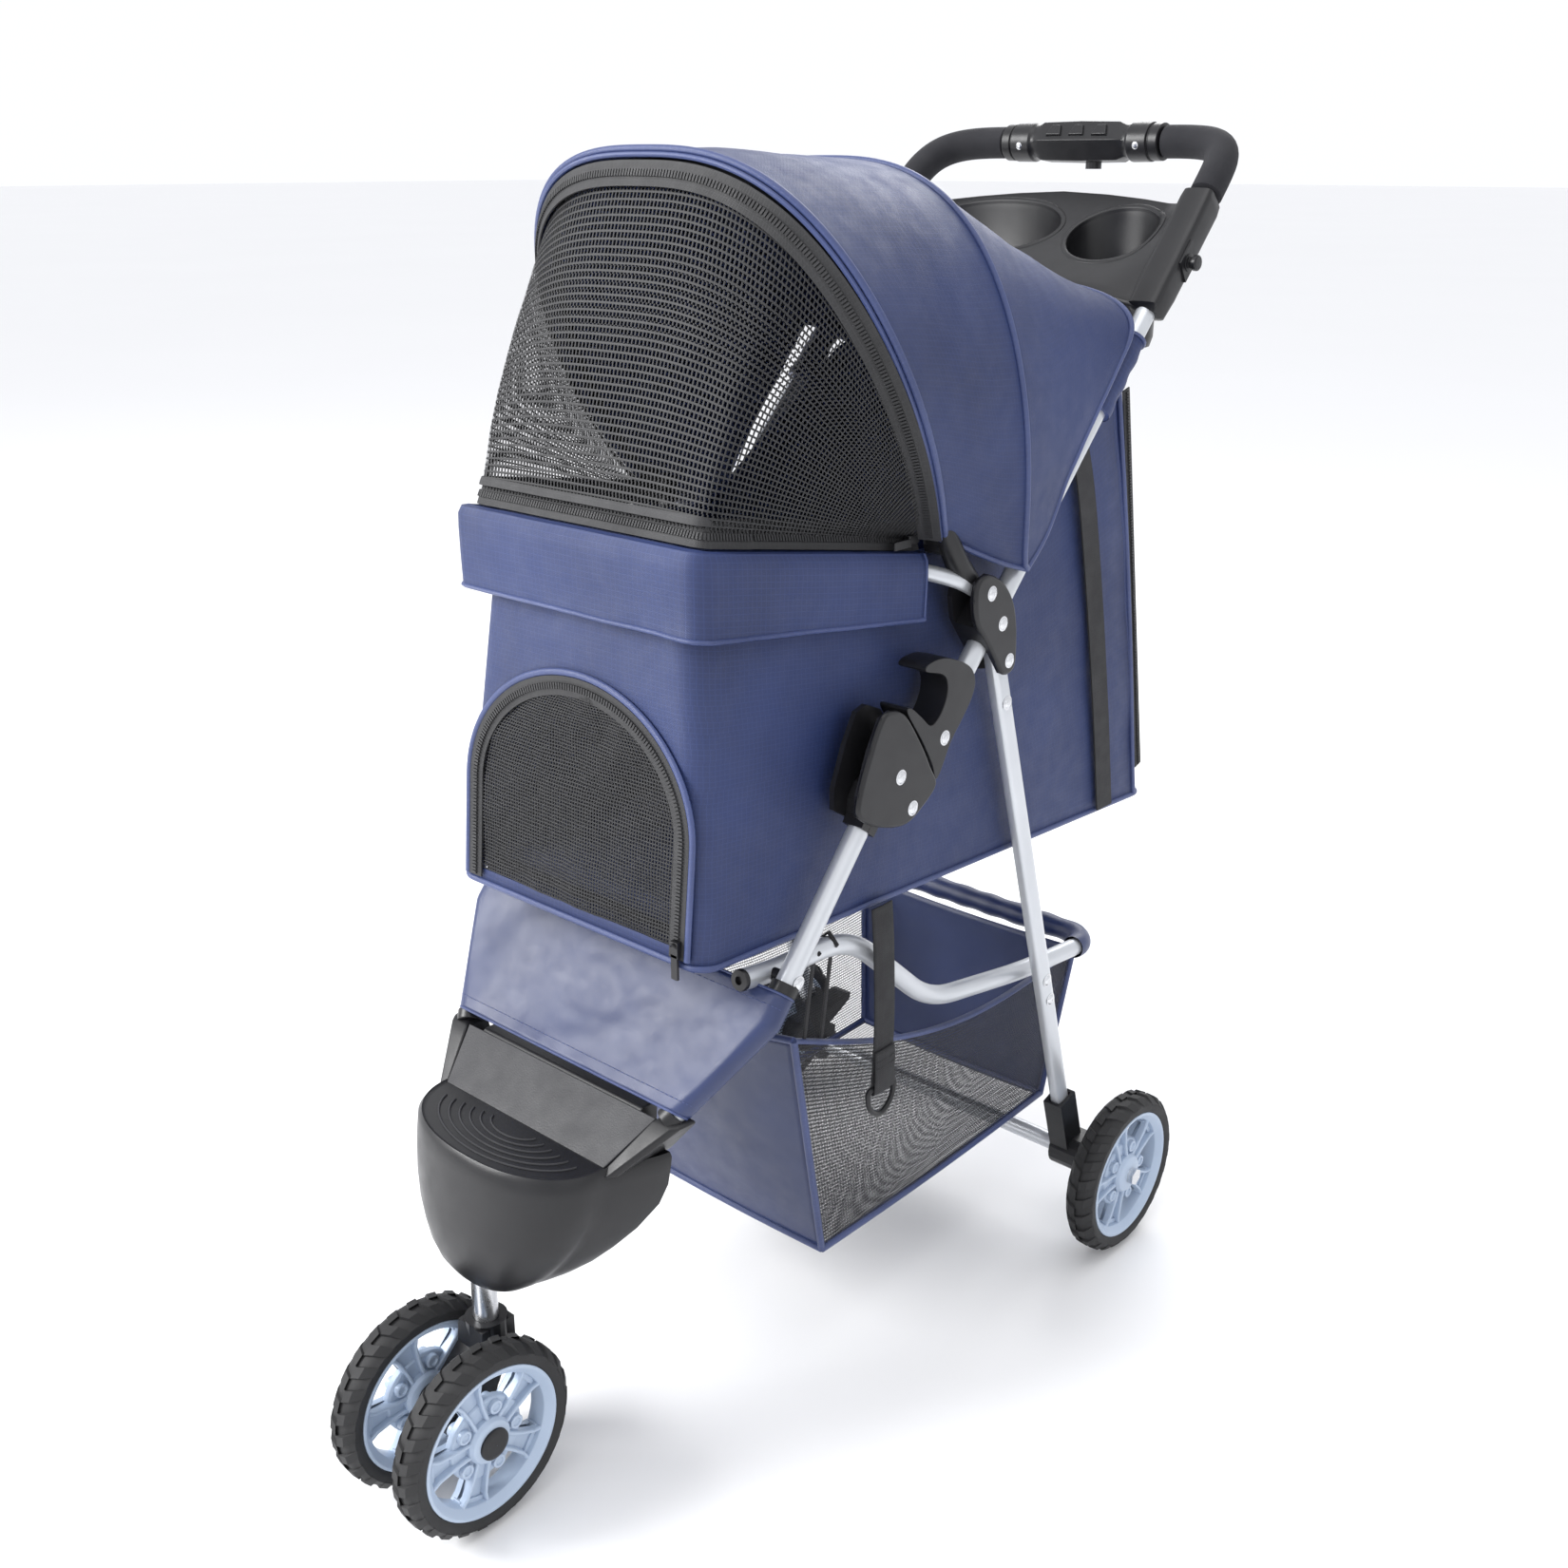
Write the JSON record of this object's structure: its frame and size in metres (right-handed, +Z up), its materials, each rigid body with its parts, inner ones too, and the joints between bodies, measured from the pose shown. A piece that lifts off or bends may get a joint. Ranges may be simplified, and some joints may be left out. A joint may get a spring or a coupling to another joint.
{
  "type": "pet stroller",
  "caption": "Folding pet stroller with a fabric cabin and canopy, swivelling front wheels, a basket and a cup tray.",
  "frame": {"origin": "on the floor, under the middle of the bounding box", "axes": "+Z up, -Y towards the front wheels, +X to the pusher's left"},
  "size_m": [0.452, 0.868, 0.976],
  "materials": {
    "silver_paint": "satin",
    "steel": "bright",
    "black_plastic": "fine grain",
    "rim_plastic": "satin",
    "tyre_rubber": "matt",
    "grip_foam": "matt foam",
    "navy_fabric": "coated plain weave",
    "navy_satin": "satin weave",
    "black_mesh": "open mesh",
    "pad_fabric": "brushed",
    "floor_board": "matt",
    "webbing": "ribbed"
  },
  "bodies": {
    "frame": {"front_leg_left": "silver_paint", "front_leg_right": "silver_paint", "leg_cap_left": "black_plastic", "leg_cap_right": "black_plastic", "link_pin_left": "steel", "link_pin_right": "steel", "footrest": "black_plastic", "stem_crossbar": "steel", "front_panel": "navy_satin"},
    "fork": {"fork": "black_plastic", "fork_stem": "steel", "front_axle": "steel"},
    "front_wheel_left": {"front_tyre_left": "tyre_rubber", "front_rim_left": "rim_plastic"},
    "front_wheel_right": {"front_tyre_right": "tyre_rubber", "front_rim_right": "rim_plastic"},
    "handle": {"handle_tube": "silver_paint", "knuckle_left": "black_plastic", "knuckle_right": "black_plastic", "hinge_block_left": "black_plastic", "hinge_block_right": "black_plastic", "fold_pin_left": "steel", "fold_pin_right": "steel", "leg_pin_left": "steel", "leg_pin_right": "steel", "foam_grip_left": "grip_foam", "foam_grip_right": "grip_foam", "centre_grip": "black_plastic", "tray": "black_plastic"},
    "grip_button": {"grip_button": "black_plastic"},
    "latch_left": {"latch_left": "black_plastic"},
    "latch_right": {"latch_right": "black_plastic"},
    "rear_frame": {"rear_leg_left": "silver_paint", "rear_leg_right": "silver_paint", "axle_housing_left": "black_plastic", "axle_housing_right": "black_plastic", "axle_tube": "silver_paint", "rear_axle": "steel"},
    "rear_wheel_left": {"rear_tyre_left": "tyre_rubber", "rear_rim_left": "rim_plastic"},
    "rear_wheel_right": {"rear_tyre_right": "tyre_rubber", "rear_rim_right": "rim_plastic"},
    "brake_left": {"brake_pedal_left": "black_plastic"},
    "brake_right": {"brake_pedal_right": "black_plastic"},
    "link": {"link_tube": "silver_paint", "link_plug_left": "black_plastic", "link_plug_right": "black_plastic", "basket": "navy_fabric"},
    "cabin": {"cabin": "navy_fabric", "floor_board": "floor_board", "pad": "pad_fabric", "collar": "navy_fabric", "hoop": "silver_paint", "canopy_rear": "navy_fabric", "strap": "webbing"},
    "canopy": {"front_bow": "black_plastic", "canopy_front": "navy_fabric", "window": "black_mesh"},
    "front_door": {"front_door": "black_mesh"},
    "d_ring": {"d_ring": "black_plastic"}
  },
  "joints": [
    {"name": "fold", "type": "hinge", "parent": "frame", "child": "handle", "pos_m": [0, -0.049, 0.531], "axis": [1, 0, 0], "range_deg": [0, 138], "deforming": ["cabin", "floor_board", "pad", "collar", "canopy_rear", "strap", "canopy_front", "window", "front_door", "basket", "front_panel", "d_ring", "front_bow"]},
    {"name": "rear_legs_fold", "type": "hinge", "parent": "handle", "child": "rear_frame", "pos_m": [0, 0.084, 0.588], "axis": [1, 0, 0], "range_deg": [-60.5, 0]},
    {"name": "link_fold", "type": "hinge", "parent": "frame", "child": "link", "pos_m": [0, -0.152, 0.404], "axis": [1, 0, 0], "range_deg": [0, 57.4]},
    {"name": "cabin_fold", "type": "hinge", "parent": "handle", "child": "cabin", "pos_m": [0, 0.057, 0.645], "axis": [1, 0, 0], "range_deg": [-109, 0]},
    {"name": "fork_swivel", "type": "hinge", "parent": "frame", "child": "fork", "pos_m": [0, -0.321, 0.14], "axis": [0, 0, 1], "continuous": true},
    {"name": "front_wheel_left_spin", "type": "hinge", "parent": "fork", "child": "front_wheel_left", "pos_m": [0, -0.359, 0.075], "axis": [1, 0, 0], "continuous": true},
    {"name": "front_wheel_right_spin", "type": "hinge", "parent": "fork", "child": "front_wheel_right", "pos_m": [0, -0.359, 0.075], "axis": [1, 0, 0], "continuous": true},
    {"name": "rear_wheel_left_spin", "type": "hinge", "parent": "rear_frame", "child": "rear_wheel_left", "pos_m": [0, 0.243, 0.075], "axis": [1, 0, 0], "continuous": true},
    {"name": "rear_wheel_right_spin", "type": "hinge", "parent": "rear_frame", "child": "rear_wheel_right", "pos_m": [0, 0.243, 0.075], "axis": [1, 0, 0], "continuous": true},
    {"name": "brake_left_press", "type": "hinge", "parent": "rear_frame", "child": "brake_left", "pos_m": [0, 0.266, 0.084], "axis": [1, 0, 0], "range_deg": [-20, 0]},
    {"name": "brake_right_press", "type": "hinge", "parent": "rear_frame", "child": "brake_right", "pos_m": [0, 0.266, 0.084], "axis": [1, 0, 0], "range_deg": [-20, 0]},
    {"name": "latch_left_slide", "type": "slide", "parent": "handle", "child": "latch_left", "axis": [0, 0.6871, 0.7266], "range_m": [0, 0.014], "stiffness_N_per_m": 600, "springref_m": -0.003},
    {"name": "latch_right_slide", "type": "slide", "parent": "handle", "child": "latch_right", "axis": [0, 0.6871, 0.7266], "range_m": [0, 0.014], "stiffness_N_per_m": 600, "springref_m": -0.003},
    {"name": "grip_button_press", "type": "slide", "parent": "handle", "child": "grip_button", "axis": [0, 0, 1], "range_m": [0, 0.0025], "stiffness_N_per_m": 400, "springref_m": -0.001},
    {"name": "canopy_fold", "type": "hinge", "parent": "cabin", "child": "canopy", "pos_m": [0, 0.024, 0.684], "axis": [1, 0, 0], "range_deg": [-55, 0], "deforming": ["canopy_front", "window", "canopy_rear"]},
    {"name": "door_open", "type": "hinge", "parent": "cabin", "child": "front_door", "pos_m": [0, -0.2135, 0.434], "axis": [1, 0, 0], "range_deg": [0, 100]},
    {"name": "d_ring_swing", "type": "hinge", "parent": "cabin", "child": "d_ring", "pos_m": [0.147, -0.038, 0.2675], "axis": [0, 1, 0], "range_deg": [-70, 70]}
  ],
  "couplings": [
    {"joint": "rear_legs_fold", "follows": "fold", "ratio": -0.4312},
    {"joint": "link_fold", "follows": "fold", "ratio": 0.4087},
    {"joint": "cabin_fold", "follows": "fold", "ratio": -0.7826}
  ]
}
